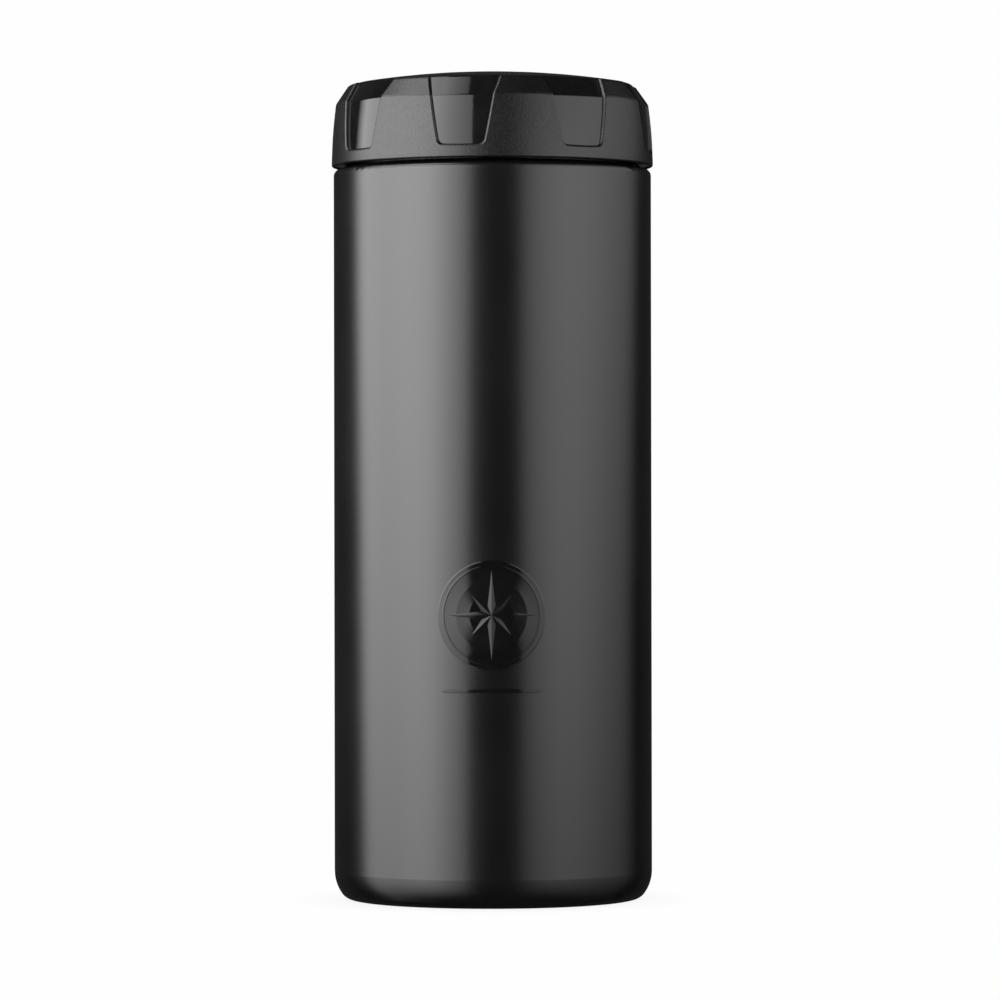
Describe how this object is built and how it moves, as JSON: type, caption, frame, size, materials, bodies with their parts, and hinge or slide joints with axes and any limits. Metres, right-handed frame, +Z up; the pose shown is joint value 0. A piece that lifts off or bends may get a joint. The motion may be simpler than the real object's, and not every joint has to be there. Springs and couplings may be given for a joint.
{
  "type": "insulated screw-lid canister",
  "caption": "Tall cylindrical double-walled canister with a faceted screw-on grip lid, an inner plug with a sealing ring, and a non-slip foot.",
  "frame": {"origin": "centre of the foot pad's face, on the canister's axis", "axes": "+Z up along the canister's axis towards the lid, -Y the front"},
  "size_m": [0.0738, 0.0738, 0.1899],
  "materials": {
    "outer_shell": "satin black powder coat on steel",
    "inner_liner": "turned and electropolished stainless steel",
    "base_plate": "pressed stainless steel",
    "vacuum_seal": "brazed bead",
    "getter": "sintered pill in a cup",
    "base_pad": "matt silicone rubber",
    "lid_grip_ring": "fine spark-eroded grain",
    "lid_core": "polished moulding",
    "lid_liner": "smooth satin moulding",
    "lid_insulation": "closed-cell foam",
    "lid_gasket": "silicone ring"
  },
  "bodies": {
    "canister": {"outer_shell": "outer_shell", "inner_liner": "inner_liner", "base_plate": "base_plate", "vacuum_seal": "vacuum_seal", "getter": "getter", "base_pad": "base_pad"},
    "seal": {"lid_gasket": "lid_gasket"},
    "lid": {"lid_grip_ring": "lid_grip_ring", "lid_core": "lid_core", "lid_liner": "lid_liner", "lid_insulation": "lid_insulation"}
  },
  "joints": [
    {"name": "lid_lift", "type": "slide", "parent": "canister", "child": "seal", "axis": [0, 0, 1], "range_m": [0, 0.01801]},
    {"name": "lid_turn", "type": "hinge", "parent": "seal", "child": "lid", "pos_m": [0, 0, 0.175], "axis": [0, 0, 1], "range_deg": [0, 810]}
  ],
  "couplings": [
    {"joint": "lid_lift", "follows": "lid_turn", "m_per_rad": 0.0012732}
  ]
}
